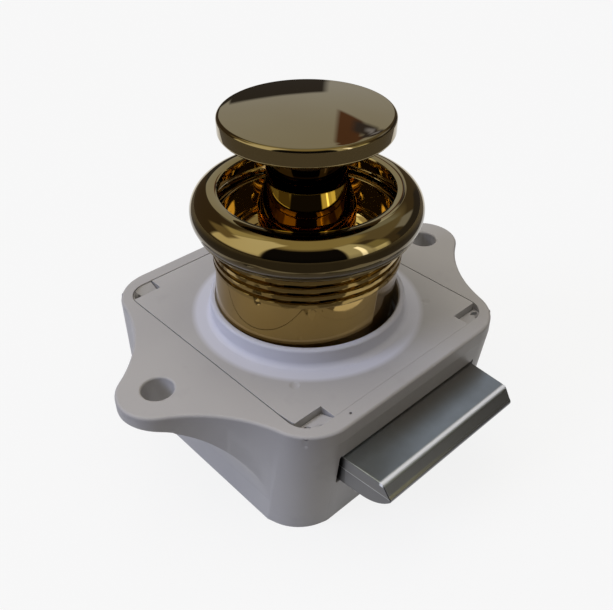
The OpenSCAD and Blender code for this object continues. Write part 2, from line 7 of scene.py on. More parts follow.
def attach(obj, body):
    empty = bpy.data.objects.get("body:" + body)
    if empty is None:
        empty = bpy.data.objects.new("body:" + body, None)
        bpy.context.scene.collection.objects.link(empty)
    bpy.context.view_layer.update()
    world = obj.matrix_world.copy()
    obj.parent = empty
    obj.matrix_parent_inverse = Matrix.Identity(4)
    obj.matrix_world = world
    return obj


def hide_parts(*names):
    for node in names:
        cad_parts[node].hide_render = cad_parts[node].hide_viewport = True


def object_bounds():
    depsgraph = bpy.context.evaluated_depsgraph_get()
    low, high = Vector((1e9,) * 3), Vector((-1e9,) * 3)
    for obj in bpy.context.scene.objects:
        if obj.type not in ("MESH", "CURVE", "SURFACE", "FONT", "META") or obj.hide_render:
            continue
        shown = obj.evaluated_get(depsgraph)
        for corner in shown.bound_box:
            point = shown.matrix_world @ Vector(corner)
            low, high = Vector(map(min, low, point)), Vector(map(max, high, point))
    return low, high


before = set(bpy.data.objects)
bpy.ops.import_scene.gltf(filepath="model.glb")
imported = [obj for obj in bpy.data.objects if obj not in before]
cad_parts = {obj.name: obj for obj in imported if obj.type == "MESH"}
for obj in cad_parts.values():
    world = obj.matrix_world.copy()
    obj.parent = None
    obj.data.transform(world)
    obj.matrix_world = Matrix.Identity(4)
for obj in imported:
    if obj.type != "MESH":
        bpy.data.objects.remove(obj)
cadLow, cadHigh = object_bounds()
mm = 0.001
print("frame loaded:", len(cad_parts), "nodes")


# shader and geometry sums written as Python

class Wire:
    # one output socket; each operator adds the Math node it stands for
    def __init__(self, tree, socket):
        self.tree = tree
        self.socket = socket

    def maths(self, operation, first, second=0.0, clamp=False):
        node = self.tree.nodes.new("ShaderNodeMath")
        node.operation = operation
        node.use_clamp = clamp
        for slot, value in zip(node.inputs, (first, second)):
            plug(self.tree, value, slot)
        return Wire(self.tree, node.outputs[0])

    def __add__(self, other):
        return self.maths("ADD", self, other)

    def __radd__(self, other):
        return self.maths("ADD", other, self)

    def __sub__(self, other):
        return self.maths("SUBTRACT", self, other)

    def __rsub__(self, other):
        return self.maths("SUBTRACT", other, self)

    def __mul__(self, other):
        return self.maths("MULTIPLY", self, other)

    def __truediv__(self, other):
        return self.maths("DIVIDE", self, other)

    def __pow__(self, other):
        return self.maths("POWER", self, other)

    def clamped(self):
        return self.maths("ADD", self, 0.0, clamp=True)

    def below(self, edge):
        return self.maths("LESS_THAN", self, edge)

    def fraction(self):
        return self.maths("FRACT", self)

    def size(self):
        return self.maths("ABSOLUTE", self)

    def least(self, other):
        return self.maths("MINIMUM", self, other)

    def past(self, edge, soft):
        # 1 above the edge and 0 below it, changing over soft
        return ((self - edge) / soft + 0.5).clamped()

    def within(self, low, high, soft):
        # 1 between low and high, fading out over soft on both sides
        return self.past(low, soft) * ((high - self) / soft + 0.5).clamped()


def plug(tree, value, socket):
    if isinstance(value, Wire):
        tree.links.new(value.socket, socket)
    else:
        socket.default_value = value


class Board:
    # a node tree that is being wired up
    def __init__(self, tree):
        self.tree = tree

    def node(self, kind, settings=None, sockets=None, out=0):
        made = self.tree.nodes.new(kind)
        for name, value in (settings or {}).items():
            setattr(made, name, value)
        for name, value in (sockets or {}).items():
            plug(self.tree, value, made.inputs[name])
        self.last = made
        return Wire(self.tree, made.outputs[out])

    def parts(self, vector):
        self.node("ShaderNodeSeparateXYZ", None, {0: vector})
        return [Wire(self.tree, socket) for socket in self.last.outputs]

    def mixed(self, factor, first, second):
        return self.node("ShaderNodeMix", {"data_type": "RGBA"}, {0: factor, 6: first, 7: second}, out=2)


class Finish(Board):
    # a material with one Principled shader, patterned on Object coordinates
    def __init__(self, name, **constants):
        self.material = bpy.data.materials.new(name)
        self.material.use_nodes = True
        super().__init__(self.material.node_tree)
        self.shader = self.tree.nodes["Principled BSDF"]
        for socket, value in constants.items():
            self.shader.inputs[socket].default_value = value
        self.place = self.node("ShaderNodeTexCoord", out=3)

    def axes(self):
        # place on the piece in millimetres
        return [axis * 1000.0 for axis in self.parts(self.place)]

    def stretched(self, scale):
        return self.node("ShaderNodeMapping", {"vector_type": "POINT"},
                         {"Vector": self.place, "Scale": scale})

    def noise(self, scale, detail=2.0, roughness=0.5, place=None):
        return self.node("ShaderNodeTexNoise", {"noise_dimensions": "3D"}, {
            "Vector": place or self.place, "Scale": scale, "Detail": detail, "Roughness": roughness})

    def colour(self, value):
        plug(self.tree, value, self.shader.inputs["Base Color"])

    def roughness(self, value):
        plug(self.tree, value, self.shader.inputs["Roughness"])

    def metallic(self, value):
        plug(self.tree, value, self.shader.inputs["Metallic"])

    def bump(self, height, distance, strength):
        normal = self.node("ShaderNodeBump", None, {
            "Strength": strength, "Distance": distance, "Height": height})
        plug(self.tree, normal, self.shader.inputs["Normal"])


def tint(tone, share):
    return tuple(c * share for c in tone[:3]) + (1,)


# meshes

def newObject(name, verts, faces):
    mesh = bpy.data.meshes.new(name)
    mesh.from_pydata(verts, [], faces)
    mesh.validate()
    obj = bpy.data.objects.new(name, mesh)
    bpy.context.scene.collection.objects.link(obj)
    return obj


def outwards(obj):
    work = bmesh.new()
    work.from_mesh(obj.data)
    bmesh.ops.remove_doubles(work, verts=work.verts, dist=1e-7)
    bmesh.ops.recalc_face_normals(work, faces=work.faces)
    work.to_mesh(obj.data)
    work.free()


def smooth(obj, angle):
    mesh = obj.data
    mesh.polygons.foreach_set("use_smooth", [True] * len(mesh.polygons))
    mesh.set_sharp_from_angle(angle=math.radians(angle))
    mesh.update()


def flattened(obj):
    # the evaluated result as a plain mesh, with the modifiers gone
    graph = bpy.context.evaluated_depsgraph_get()
    made = bpy.data.meshes.new_from_object(
        obj.evaluated_get(graph), preserve_all_data_layers=True, depsgraph=graph)
    old = obj.data
    obj.modifiers.clear()
    obj.data = made
    bpy.data.meshes.remove(old)
    return obj


def filleted(corners, steps, closed=False):
    # corners are (radius, height, fillet) in mm; each corner turns into a tangent arc
    path = []
    count = len(corners)
    for i, (r, z, fillet) in enumerate(corners):
        here = Vector((r, z))
        if fillet == 0 or (not closed and i in (0, count - 1)):
            path.append(here)
            continue
        before = Vector(corners[i - 1][:2])
        after = Vector(corners[(i + 1) % count][:2])
        a = (before - here).normalized()
        b = (after - here).normalized()
        half = a.angle(b) / 2
        shorter = min((before - here).length, (after - here).length)
        reach = min(fillet / math.tan(half), shorter * 0.5)
        radius = reach * math.tan(half)
        centre = here + (a + b).normalized() * radius / math.sin(half)
        start = here + a * reach - centre
        end = here + b * reach - centre
        sweep = start.angle_signed(end)
        for k in range(steps + 1):
            path.append(centre + Matrix.Rotation(-sweep * k / steps, 2) @ start)
    return [(p.x * mm, p.y * mm) for p in path]


def arcOf(centre, radius, start, end, steps):
    turns = [math.radians(start + (end - start) * k / steps) for k in range(steps + 1)]
    return [(centre[0] + radius * math.cos(t), centre[1] + radius * math.sin(t), 0) for t in turns]


def levels(low, high, step):
    # extra heights between two, so that a thread has something to push
    count = max(1, round((high - low) / step))
    return [low + (high - low) * k / count for k in range(count + 1)]


def lathe(name, path, segments=192, closed=False):
    # path is (radius, height) in metres; a radius of zero is a pole
    verts, rings = [], []
    for r, z in path:
        first = len(verts)
        if r < 1e-7:
            verts.append((0, 0, z))
            rings.append([first] * segments)
        else:
            for k in range(segments):
                t = 2 * math.pi * k / segments
                verts.append((r * math.cos(t), r * math.sin(t), z))
            rings.append(list(range(first, first + segments)))
    pairs = list(zip(rings, rings[1:]))
    if closed:
        pairs.append((rings[-1], rings[0]))
    faces = []
    for low, high in pairs:
        for k in range(segments):
            n = (k + 1) % segments
            loop = []
            for v in (low[k], low[n], high[n], high[k]):
                if v not in loop:
                    loop.append(v)
            if len(loop) > 2:
                faces.append(loop)
    obj = newObject(name, verts, faces)
    outwards(obj)
    return obj


easing = {
    # metres up to which points are one and edges are nothing, and degrees up to which faces are one
    "merge": 2e-6, "thin": 1e-5, "flat": 0.6,
    # degrees from which an edge is sharp, and the narrowest rounding in mm
    "sharp": 24, "narrowest": 0.001, "leastShare": 0.01,
}


def easedCopy(node, name, widthAt, reshape=None, steps=4):
    # a merged copy of a CAD node; widthAt gives each sharp edge its rounding in mm
    sharp = math.radians(easing["sharp"])
    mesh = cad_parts[node].data.copy()
    mesh.name = name
    mesh.materials.clear()
    work = bmesh.new()
    work.from_mesh(mesh)
    bmesh.ops.remove_doubles(work, verts=work.verts, dist=easing["merge"])
    bmesh.ops.dissolve_degenerate(work, dist=easing["thin"], edges=work.edges)
    flat = math.radians(easing["flat"])
    bmesh.ops.dissolve_limit(work, angle_limit=flat, verts=work.verts, edges=work.edges)
    if reshape:
        reshape(work)
    share = work.edges.layers.float.new("bevel_weight_edge")
    widest = easing["narrowest"]
    wanted = {}
    for edge in work.edges:
        if len(edge.link_faces) == 2 and edge.calc_face_angle(0) > sharp:
            middle = (edge.verts[0].co + edge.verts[1].co) / 2 / mm
            wanted[edge] = widthAt(middle, edge)
            widest = max(widest, wanted[edge])
    for edge, width in wanted.items():
        edge[share] = width / widest
    work.to_mesh(mesh)
    work.free()
    obj = bpy.data.objects.new(name, mesh)
    bpy.context.scene.collection.objects.link(obj)
    rounding = obj.modifiers.new("edges", "BEVEL")
    rounding.width = widest * mm
    rounding.segments = steps
    rounding.limit_method = "WEIGHT"
    rounding.use_clamp_overlap = False
    rounding.loop_slide = False
    rounding.miter_outer = "MITER_ARC"
    evenShade = obj.modifiers.new("shading", "WEIGHTED_NORMAL")
    evenShade.keep_sharp = True
    mesh.polygons.foreach_set("use_smooth", [True] * len(mesh.polygons))
    mesh.set_sharp_from_angle(angle=sharp)
    shares = mesh.attributes["bevel_weight_edge"].data
    for edge in mesh.edges:
        if shares[edge.index].value > easing["leastShare"]:
            edge.use_edge_sharp = False
    return flattened(obj)


def dress(obj, finish, body=None, replaces=()):
    obj.data.materials.clear()
    obj.data.materials.append(finish.material)
    if body:
        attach(obj, body)
        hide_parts(*replaces)


# floor, room and camera; angles are in degrees, azimuth 0 is the side the photograph was taken from

studio = {
    "facing": -42.88,
    "sheetColour": (0.50, 0.50, 0.50, 1), "tableColour": (0.160, 0.148, 0.135, 1), "sheetWhite": 0.86,
    # half width of the sheet at the axis, how much it widens per millimetre away, and its near edge
    "sheetHalf": 51.0, "sheetWidens": 0.34, "sheetNear": 37.0, "tableHalf": 3000.0,
    "wall": (0.12, 0.11, 0.10, 1), "ceiling": (0.76, 0.74, 0.69, 1),
    "dusk": (0.10, 0.08, 0.06, 1), "overhead": (0.52, 0.46, 0.28, 1),
    # elevation at which the wall turns into the ceiling and dusk into overhead, and over how much
    "wallEnd": (38.0, 18.0), "duskEnd": (52.0, 12.0),
    "lampDistance": 500.0,
    "suns": [
        # name, azimuth, elevation, width, light on a white face, colour
        ("windowLight", -70, 30, 26, 0.60, (0.62, 0.70, 1.0)),
        ("ceilingLight", -125, 66, 54, 0.33, (1.0, 0.94, 0.84)),
        ("farLight", 78, 68, 60, 0.17, (1.0, 0.96, 0.91)),
    ],
    "panels": [
        # side, azimuths, elevations, softness, tilt, colour; only polished faces show them;
        # the front side counts azimuth from the camera, the back side from the far end
        ("front", -98, -43, 6, 74, 4, 0, (1.15, 1.13, 1.00, 1)),
        ("front", -130, -98, 40, 70, 8, 0, (0.70, 0.66, 0.45, 1)),
        ("front", 36, 62, -20, 60, 5, 0, (0.85, 0.84, 0.72, 1)),
        ("front", 50, 55, -10, 42, 1.5, 0, (3.0, 3.1, 3.6, 1)),
        ("front", 62, 78, -30, 16, 6, 0, (1.15, 1.14, 0.95, 1)),
        ("front", 62, 80, 16, 40, 6, 0, (0.40, 0.37, 0.22, 1)),
        ("front", 80, 165, 34, 62, 6, 0, (0.23, 0.20, 0.15, 1)),
        ("front", 92, 150, -20, 20, 4, 0, (0.05, 0.045, 0.05, 1)),
        ("front", 106, 130, 20, 36, 4, 0, (0.38, 0.40, 0.52, 1)),
        ("front", -41, 36, -30, 52, 3, 0, (0.010, 0.009, 0.012, 1)),
        ("back", 18, 82, -30, 46, 6, 0, (0.08, 0.06, 0.045, 1)),
        ("back", 62, 96, 28, 46, 6, 0, (0.32, 0.27, 0.18, 1)),
        ("back", -40, 22, 40, 68, 6, 0, (0.36, 0.38, 0.41, 1)),
        ("back", -14, 18, 10, 44, 1.5, 0, (0.54, 0.56, 0.60, 1)),
        ("back", -2.2, 20, -4, 17.3, 0.8, 0.22, (0.055, 0.05, 0.05, 1)),
        ("back", -7.2, -3.9, 18.8, 28.0, 0.7, -0.95, (0.17, 0.085, 0.055, 1)),
        ("back", -13, -6.0, 22.2, 25.4, 1.0, -0.5, (0.075, 0.065, 0.08, 1)),
        ("back", -9.4, -7.7, 27.2, 28.2, 0.7, 0, (0.42, 0.46, 0.70, 1)),
        ("back", -18, -12, 36, 42, 2, 0, (0.75, 0.80, 0.90, 1)),
    ],
}


def direction(azimuth, elevation, facing):
    turn = math.radians(facing + azimuth)
    rise = math.radians(elevation)
    return Vector((math.cos(turn) * math.cos(rise), math.sin(turn) * math.cos(rise), math.sin(rise)))


# case: the CAD form with its edges eased

case = {
    "tone": (0.372, 0.358, 0.345, 1),
    "shade": (0.330, 0.317, 0.312, 1),
    "rimRound": 0.40, "seamRound": 0.05, "footRound": 0.14, "earHoleRound": 0.30, "slotRound": 0.10,
    "grain": 0.00002, "pinhole": (18.35, -10.5), "pinholeReach": 0.4,
    "coverHalf": 16.6, "coverFront": 17.5, "coverBack": 19.2, "coverReach": 0.08, "frontSeam": 17.45,
    "slotFrom": 17.4, "slotEdgeFrom": 18.0, "slotHalf": 13.4, "slotLow": -11.2, "slotTop": -4.75,
    "slotDrop": 0.25, "sideShare": 0.8, "sideEdge": 18.2, "sideHigh": -3.0,
    # where the notch floors reach the skin, and how far they are pulled back
    "notchTips": [(17.8, 16.9, 0.13), (-19.5, 16.9, 0.08)],
    "earY": 24.1, "earHoleReach": 2.01, "foot": -17.6, "near": 0.03,
}


plastic = {
    "cloudScale": 55, "fineScale": 1500, "smudgeScale": 170, "scuffScale": 300, "rough": 0.33,
    # share of the surface without smudges, how dark they are and how much they show, and how much the
    # collar's painted light shows
    "clean": 0.60, "smudgeTint": 0.72, "smudgeShow": 0.45, "paintedLightShow": 0.85,
}


def mouldedPlastic(name, s, seed):
    f = Finish(name)
    p = plastic
    x, y, z = f.axes()
    cloud = f.noise(p["cloudScale"] + seed, 3)
    fine = f.noise(p["fineScale"], 2)
    smudge = f.noise(p["smudgeScale"] + seed, 4, 0.62)
    scuff = f.noise(p["scuffScale"], 5, 0.65, f.stretched((1, 3.2, 1)))
    tone = f.mixed((cloud * 1.8 - 0.45).clamped(), s["tone"], s["shade"])
    dirty = ((smudge - p["clean"]) * 3.2).clamped() * p["smudgeShow"]
    tone = f.mixed(dirty, tone, tint(s["shade"], p["smudgeTint"]))
    # painted light: where the collar lies the tone turns paler and bluish, standing in for window light
    if "paintedLight" in s:
        radius = (x * x + y * y) ** 0.5
        paintedLight = radius.within(*s["paintedLightRadii"], 0.8) * z.within(*s["paintedLightHeights"], 0.4)
        tone = f.mixed(paintedLight * p["paintedLightShow"], tone, s["paintedLight"])
    f.colour(tone)
    f.roughness((p["rough"] + scuff * 0.2 + fine * 0.05).clamped())
    f.bump(fine * 0.5 + scuff * 0.5, s["grain"], 0.5)
    return f


def caseEdge(s):
    def width(p, edge):
        reach = s["coverReach"]
        inCover = (abs(p.y) < s["coverHalf"] + reach
                   and -s["coverBack"] - reach < p.x < s["coverFront"] + reach)
        if math.hypot(p.x, abs(p.y) - s["earY"]) < s["earHoleReach"]:
            return s["earHoleRound"]
        if math.hypot(p.x - s["pinhole"][0], p.y - s["pinhole"][1]) < s["pinholeReach"]:
            return 0
        if inCover and p.x > s["frontSeam"]:
            return 0
        if p.z > -s["near"]:
            return s["seamRound"] if inCover else s["rimRound"]
        if p.z < s["foot"] + s["near"]:
            return s["footRound"]
        if p.x > s["slotEdgeFrom"] and s["slotLow"] < p.z < s["sideHigh"] and abs(p.y) < s["slotHalf"]:
            return s["slotRound"]
        if p.z > s["sideHigh"] and abs(p.y) > s["sideEdge"]:
            return s["rimRound"] * s["sideShare"]
        return 0
    return width


def fittedCase(s):
    # the slot's upper edge lies close over the bolt, and the notch floors end flush with the skin
    def reshape(work):
        for v in work.verts:
            x, y, z = v.co / mm
            for tipX, tipY, back in s["notchTips"]:
                if abs(x - tipX) < s["near"] and abs(abs(y) - tipY) < s["near"]:
                    v.co.x -= math.copysign(back, x) * mm
                    v.co.y -= math.copysign(back, y) * mm
            if x > s["slotFrom"] and abs(y) < s["slotHalf"] and abs(z - s["slotTop"]) < s["near"]:
                v.co.z -= s["slotDrop"] * mm
    return reshape


casePlastic = mouldedPlastic("moulded plastic case", case, 0)
caseShell = easedCopy("housing", "caseShell", caseEdge(case), fittedCase(case))
dress(caseShell, casePlastic, "case", ["housing"])
print("case eased:", len(caseShell.data.polygons), "faces")


# cover: the CAD form with its edges eased

cover = {
    "tone": (0.380, 0.366, 0.352, 1),
    "shade": (0.335, 0.323, 0.318, 1),
    # the collar is painted paler and bluish, a painted pool of window light: radii and heights that it lies
    # between
    "paintedLight": (0.560, 0.560, 0.610, 1), "paintedLightRadii": (12.0, 15.2), "paintedLightHeights": (-0.6, 6.0),
    "edgeRound": 0.05, "grain": 0.00002, "edgeFrom": 14.0, "edgeHigh": 0.1, "near": 0.03,
    "front": 17.38, "frontEdge": 17.33, "frontGap": 0.10,
    "side": 16.3, "pulledFrom": 12.6, "pulledTo": 15.3, "pulledIn": 0.22,
}


def coverEdge(s):
    def width(p, edge):
        if -s["near"] < p.z < s["edgeHigh"] and math.hypot(p.x, p.y) > s["edgeFrom"]:
            return 0 if p.x > s["frontEdge"] else s["edgeRound"]
        return 0
    return width


def fittedCover(s):
    # the cover fits tight at the front, and the seam widens beside its near notch
    def reshape(work):
        everything = list(work.verts) + list(work.edges) + list(work.faces)
        cut = (s["pulledFrom"] * mm, 0, 0)
        bmesh.ops.bisect_plane(work, geom=everything, plane_co=cut, plane_no=(1, 0, 0))
        for v in work.verts:
            x, y = v.co.x / mm, v.co.y / mm
            if x > s["front"] - s["near"]:
                v.co.x += s["frontGap"] * mm
            if y < -s["side"] and x > s["pulledFrom"]:
                share = (x - s["pulledFrom"]) / (s["pulledTo"] - s["pulledFrom"])
                v.co.y += s["pulledIn"] * mm * share
    return reshape


coverPlastic = mouldedPlastic("moulded plastic cover", cover, 13)
coverPlate = easedCopy("cover", "coverPlate", coverEdge(cover), fittedCover(cover))
dress(coverPlate, coverPlastic, "case", ["cover"])
print("cover eased:", len(coverPlate.data.polygons), "faces")


# bolt: the CAD form with a round shoulder and fine edges

bolt = {
    "light": (0.475, 0.520, 0.565, 1), "dark": (0.345, 0.375, 0.405, 1), "under": (0.115, 0.112, 0.117, 1),
    "highlightAndPartingTone": (0.92, 0.94, 0.98, 1), "glintOlive": (0.30, 0.28, 0.19, 1), "caseShadeBrown": (0.36, 0.335, 0.31, 1),
    "shoulderX": 25.0, "top": -5.2, "shoulderRound": 0.60, "edgeRound": 0.14,
    "rough": 0.24, "streakScale": 260, "mottleScale": 380, "scratchScale": 900, "grain": 0.00002,
    "parting": (-7.05, -6.95), "sideY": 11.6, "headFrom": 15.5, "near": 0.05,
    # lengths and heights of the shoulder's painted highlight, the painted shade by the case and the painted
    # olive glint
    "shoulderLength": (24.58, 25.02), "shoulderHeight": (-5.7, -4.2),
    "caseShadeLength": (10.0, 21.1), "caseShadeWidth": (-6.0, 20.0), "glintHeight": (-6.95, -6.65),
}


def castZinc(name, s):
    f = Finish(name, Metallic=1.0)
    x, y, z = f.axes()
    facing = f.parts(f.node("ShaderNodeNewGeometry", out=1))
    nx, nz = facing[0], facing[2]
    streak = f.noise(s["streakScale"], 4, 0.55, f.stretched((1.0, 0.14, 1)))
    mottle = f.noise(s["mottleScale"], 3, 0.6)
    scratch = f.noise(s["scratchScale"], 2, 0.5, f.stretched((1.0, 0.03, 1)))
    parting = z.within(*s["parting"], 0.08)
    onSide = (y.size() - s["sideY"]).clamped() * (0.6 - nz.size()).clamped() * 2.0
    shadeNotUp = ((0.80 - nz) / 0.16).clamped()
    shoulder = x.within(*s["shoulderLength"], 0.25) * z.within(*s["shoulderHeight"], 0.2)
    shadeByCase = x.within(*s["caseShadeLength"], 2.4) * y.within(*s["caseShadeWidth"], 9.0) * nz.clamped()
    glint = z.within(*s["glintHeight"], 0.25) * (0.0 - y * 0.12).clamped()
    base = f.mixed((streak * 0.8 + mottle * 0.8 - 0.3).clamped(), s["light"], s["dark"])
    base = f.mixed(((scratch - 0.66) * 9).clamped() * 0.35, base, tint(s["light"], 1.6))
    # painted shade: upward faces near the case turn brown-grey
    base = f.mixed((shadeByCase * (streak + 0.4)).clamped() * 0.85, base, s["caseShadeBrown"])
    # painted shade: faces that don't face up turn to the dark under tone
    base = f.mixed(shadeNotUp * 0.92, base, s["under"])
    # painted glint: an olive line low on the nose, on faces turned towards +X
    base = f.mixed(shadeNotUp * nx.clamped() * glint * 0.9, base, s["glintOlive"])
    # painted highlight: the shoulder turns near-white; the same pale tone also marks the parting line
    base = f.mixed(shoulder * 0.9, base, s["highlightAndPartingTone"])
    f.colour(f.mixed((parting * onSide).clamped() * 0.5, base, s["highlightAndPartingTone"]))
    f.roughness((s["rough"] + streak * 0.10 + mottle * 0.08 + shoulder * 0.16).clamped())
    # the shoulder's painted highlight is also rougher and less metallic, so it scatters light instead of
    # mirroring it
    f.metallic(1.0 - shoulder * 0.6)
    f.bump(streak * 0.5 + mottle * 0.3 + parting * onSide * 3.0, s["grain"], 0.45)
    return f


def boltEdge(s):
    def width(p, edge):
        if p.x < s["headFrom"]:
            return 0
        along = abs((edge.verts[0].co - edge.verts[1].co).normalized().y) > 0.9
        if along and abs(p.x - s["shoulderX"]) < s["near"] and abs(p.z - s["top"]) < s["near"]:
            return s["shoulderRound"]
        return s["edgeRound"]
    return width


boltZinc = castZinc("cast zinc", bolt)
boltBody = easedCopy("latch_bolt", "boltBody", boltEdge(bolt), steps=6)
dress(boltBody, boltZinc, "bolt", ["latch_bolt"])
print("bolt eased:", len(boltBody.data.polygons), "faces")


# screw thread: a rule that pushes the rings of a fine tube in and out along a helix

thread = {
    # steepness of a groove's sides, how far its bottom is flat, and mm over which it runs out
    "steepness": 6.0, "bottom": 0.50, "runOut": 0.4,
    # metres up to which a ring counts as part of the threaded skin
    "reach": 0.00002,
}


def threadTree():
    tree = bpy.data.node_groups.new("screw thread", "GeometryNodeTree")
    face = tree.interface
    face.new_socket("Geometry", in_out="INPUT", socket_type="NodeSocketGeometry")
    for name in ("Crest radius", "Depth", "Pitch", "Start height", "End height", "Run out", "Inward"):
        face.new_socket(name, in_out="INPUT", socket_type="NodeSocketFloat")
    face.new_socket("Finish", in_out="INPUT", socket_type="NodeSocketMaterial")
    face.new_socket("Geometry", in_out="OUTPUT", socket_type="NodeSocketGeometry")
    b = Board(tree)
    inlet = tree.nodes.new("NodeGroupInput")
    given = {s.name: Wire(tree, s) for s in inlet.outputs if s.name}
    x, y, z = b.parts(b.node("GeometryNodeInputPosition"))
    radius = (x * x + y * y) ** 0.5
    turn = y.maths("ARCTAN2", y, x) / (2 * math.pi)
    phase = (z / given["Pitch"] - turn).fraction()
    # wide flat crests with narrow grooves between them
    crest = ((phase - 0.5).size() * thread["steepness"] - thread["bottom"]).clamped()
    rise = ((z - given["Start height"]) / given["Run out"]).clamped()
    fade = rise.least(((given["End height"] - z) / given["Run out"]).clamped())
    onThread = (radius - given["Crest radius"]).size().below(thread["reach"])
    cut = (1.0 - crest) * fade * onThread * given["Depth"] * given["Inward"]
    scale = (radius - cut) / radius
    moved = b.node("ShaderNodeCombineXYZ", None, {0: x * scale, 1: y * scale, 2: z})
    shaped = b.node("GeometryNodeSetPosition", None, {"Geometry": given["Geometry"], "Position": moved})
    real = b.node("GeometryNodeRealizeInstances", None, {0: shaped})
    dressed = b.node("GeometryNodeSetMaterial", None, {"Geometry": real, "Material": given["Finish"]})
    outlet = tree.nodes.new("NodeGroupOutput")
    plug(tree, dressed, outlet.inputs[0])
    return tree


def cutThread(obj, tree, radius, inward, s, start, end, finish):
    values = {
        "Crest radius": radius * mm, "Depth": s["depth"] * mm, "Pitch": s["pitch"] * mm,
        "Start height": start * mm, "End height": end * mm, "Run out": thread["runOut"] * mm,
        "Inward": inward, "Finish": finish.material,
    }
    modifier = obj.modifiers.new("thread", "NODES")
    modifier.node_group = tree
    for item in tree.interface.items_tree:
        if item.in_out == "INPUT" and item.name in values:
            modifier[item.identifier] = values[item.name]
    return flattened(obj)


screwThread = threadTree()


# brass: polished where it is rubbed, with a painted dark reflection on upright faces and painted shade in
# the zone given

brass = {"cloudScale": 90, "smearScale": 420, "strokeScale": 330, "strokeFrom": 0.56, "grain": 0.00012}


def polishedBrass(name, s):
    # the painted shade zone is low, high and the radius from which it counts; innerZone a radius and a
    # height under which the inside lies; the painted glint zone low, high and the radius up to which it
    # counts
    f = Finish(name, Metallic=1.0)
    x, y, z = f.axes()
    radius = (x * x + y * y) ** 0.5
    low, high, inside = s["paintedShadeZone"]
    paintedShade = z.within(low, high, 0.3) * radius.past(inside, 0.2)
    cloud = f.noise(brass["cloudScale"], 2)
    smear = f.noise(brass["smearScale"], 4, 0.6, f.stretched((1, 1, 0.35)))
    tone = f.mixed((cloud * 1.8 - 0.4).clamped(), s["bright"], s["warm"])
    # painted dark reflection: upright faces turn darker, as if they mirrored dark surroundings
    if "paintedDarkReflection" in s:
        nz = f.parts(f.node("ShaderNodeNewGeometry", out=1))[2]
        upright = ((s["paintedDarkReflectionBelow"] - nz) / s["paintedDarkReflectionSoft"]).clamped() * radius.past(s["paintedDarkReflectionFrom"], 0.2)
        tone = f.mixed(upright * (0.86 + smear * 0.14), tone, s["paintedDarkReflection"])
    within, under = s["innerZone"]
    tone = f.mixed(radius.below(within) * z.below(under), tone, s["inner"])
    # painted glints: bright amber strokes on the lower stem
    if "paintedGlintZone" in s:
        low, high, outer = s["paintedGlintZone"]
        stroke = f.noise(brass["strokeScale"], 1, 0.5, f.stretched((1, 1, 0.5)))
        bright = ((stroke - brass["strokeFrom"]) * 14).clamped()
        paintedGlints = f.mixed(bright, s["amber"], s["glintBright"])
        tone = f.mixed(z.within(low, high, 0.1) * radius.below(outer), tone, paintedGlints)
    # painted shade: in the zone the tone turns to the dark one
    f.colour(f.mixed(paintedShade, tone, s["dark"]))
    f.roughness((s["polish"] + (smear - 0.45).clamped() * s["haze"]).clamped())
    f.bump(cloud, brass["grain"], s["ripple"])
    return f


# barrel

barrel = {
    "bright": (0.43, 0.305, 0.120, 1), "warm": (0.38, 0.250, 0.080, 1),
    "dark": (0.30, 0.205, 0.070, 1), "paintedShadeZone": (8.1, 16.0, 11.2),
    "inner": (0.82, 0.62, 0.25, 1), "innerZone": (10.9, 14.2),
    "polish": 0.04, "haze": 0.2, "ripple": 0.08,
    "plainRadius": 11.7, "crestRadius": 12.0, "depth": 0.50, "pitch": 1.08,
    "low": -3.4, "threadStart": 8.2, "top": 14.4, "footRounds": (0.1, 0.15), "mouthRounds": (0.1, 0.2),
    "bowlRadius": 10.75, "bowlRound": 3.6, "webLow": 3.4, "webHigh": 8.4, "webRounds": (0.3, 0.2),
    "stemHole": 6.15, "underRadius": 10.4, "underRound": 0.4,
    "clipRadius": 11.05, "clipLow": -2.05, "clipHigh": -1.25,
    # how far the skin stands aside, from which radius, over what height it starts, and where it ends
    "offCentre": 0.5, "skinFrom": 11.6, "shiftOver": 0.8, "shiftHigh": 1.0,
}


def makeBarrel(s):
    foot, mouth, web = s["footRounds"], s["mouthRounds"], s["webRounds"]
    outer = [(s["underRadius"], s["low"], foot[0]), (s["plainRadius"], s["low"], foot[1]),
             (s["plainRadius"], s["clipLow"], 0), (s["clipRadius"], s["clipLow"], 0),
             (s["clipRadius"], s["clipHigh"], 0), (s["plainRadius"], s["clipHigh"], 0),
             (s["plainRadius"], s["clipHigh"] + s["shiftOver"], 0), (s["plainRadius"], s["shiftHigh"], 0),
             (s["plainRadius"], s["threadStart"] - 0.2, 0)]
    rings = levels(s["threadStart"], s["top"] - 0.6, s["pitch"] / 20)
    outer += [(s["crestRadius"], z, 0) for z in rings]
    outer += [(s["crestRadius"] - 0.6, s["top"], mouth[0]),
              (s["bowlRadius"], s["top"], mouth[1]), (s["bowlRadius"], s["webHigh"], s["bowlRound"]),
              (s["stemHole"], s["webHigh"], web[0]), (s["stemHole"], s["webLow"], web[1]),
              (s["underRadius"], s["webLow"], s["underRound"])]
    obj = lathe("barrelBody", filleted(outer, 5, closed=True), closed=True)
    start = s["threadStart"] - 0.1
    cutThread(obj, screwThread, s["crestRadius"], 1.0, s, start, s["top"], barrelBrass)
    # its skin stands off centre in the collar's hole, and is back on the axis under the thread
    away = direction(-90, 0, studio["facing"])
    for v in obj.data.vertices:
        height = v.co.z / mm
        onSkin = math.hypot(v.co.x, v.co.y) / mm > s["skinFrom"]
        if onSkin and s["clipHigh"] < height < s["threadStart"]:
            share = min(1, (height - s["clipHigh"]) / s["shiftOver"],
                        (s["threadStart"] - height) / (s["threadStart"] - s["shiftHigh"]))
            v.co += away * s["offCentre"] * share * mm
    smooth(obj, 40)
    return obj


barrelBrass = polishedBrass("polished brass barrel", barrel)
barrelBody = makeBarrel(barrel)
dress(barrelBody, barrelBrass, "case", ["barrel"])
print("barrel made:", len(barrelBody.data.polygons), "faces")


# rosette

